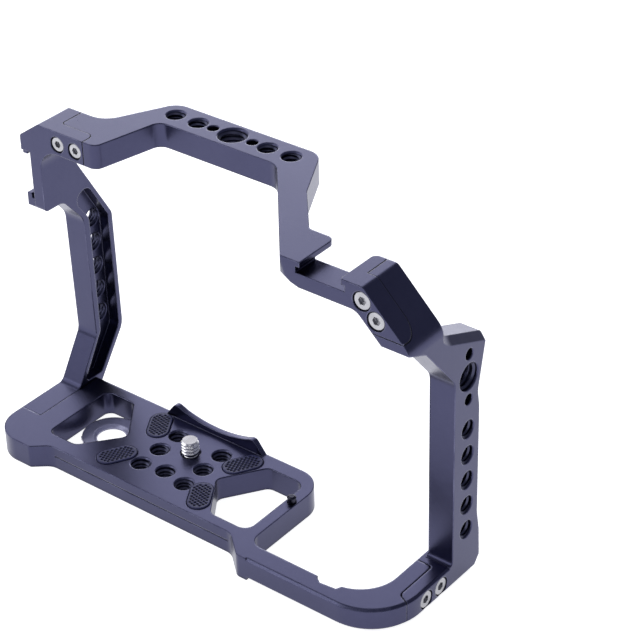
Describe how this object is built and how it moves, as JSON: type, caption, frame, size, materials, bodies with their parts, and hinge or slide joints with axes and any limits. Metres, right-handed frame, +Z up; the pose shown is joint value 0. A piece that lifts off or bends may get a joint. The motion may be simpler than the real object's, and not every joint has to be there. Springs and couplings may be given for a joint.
{
  "type": "camera cage",
  "caption": "Open metal frame around a camera: base with captive screw, two drilled side arms and a cranked top bar, with two cold shoes.",
  "frame": {"origin": "axis of the camera screw on the face that the camera sits on", "axes": "+X towards the camera's grip side, +Y forward along the lens, +Z up"},
  "size_m": [0.1771, 0.071, 0.1215],
  "materials": {
    "anodised_aluminium": "fine bead-blasted, dark anodised, slightly violet",
    "steel": "bright nickel",
    "rubber": "matte, moulded dimples",
    "black_steel": "satin black"
  },
  "bodies": {
    "cage": {"base_plate": "anodised_aluminium", "left_arm": "anodised_aluminium", "top_plate": "anodised_aluminium", "right_arm": "anodised_aluminium", "grip_pad_1": "rubber", "grip_pad_2": "rubber", "grip_pad_3": "rubber", "grip_pad_4": "rubber", "locating_pin": "black_steel", "left_head_screw_1": "steel", "left_head_screw_2": "steel", "shoulder_screw_1": "steel", "shoulder_screw_2": "steel", "right_foot_screw_1": "steel", "right_foot_screw_2": "steel", "left_foot_screw_1": "steel", "left_foot_screw_2": "steel"},
    "screw": {"camera_screw": "steel"}
  },
  "joints": [
    {"name": "camera_screw_spin", "type": "hinge", "parent": "cage", "child": "screw", "pos_m": [0, 0, 0], "axis": [0, 0, 1], "continuous": true}
  ]
}
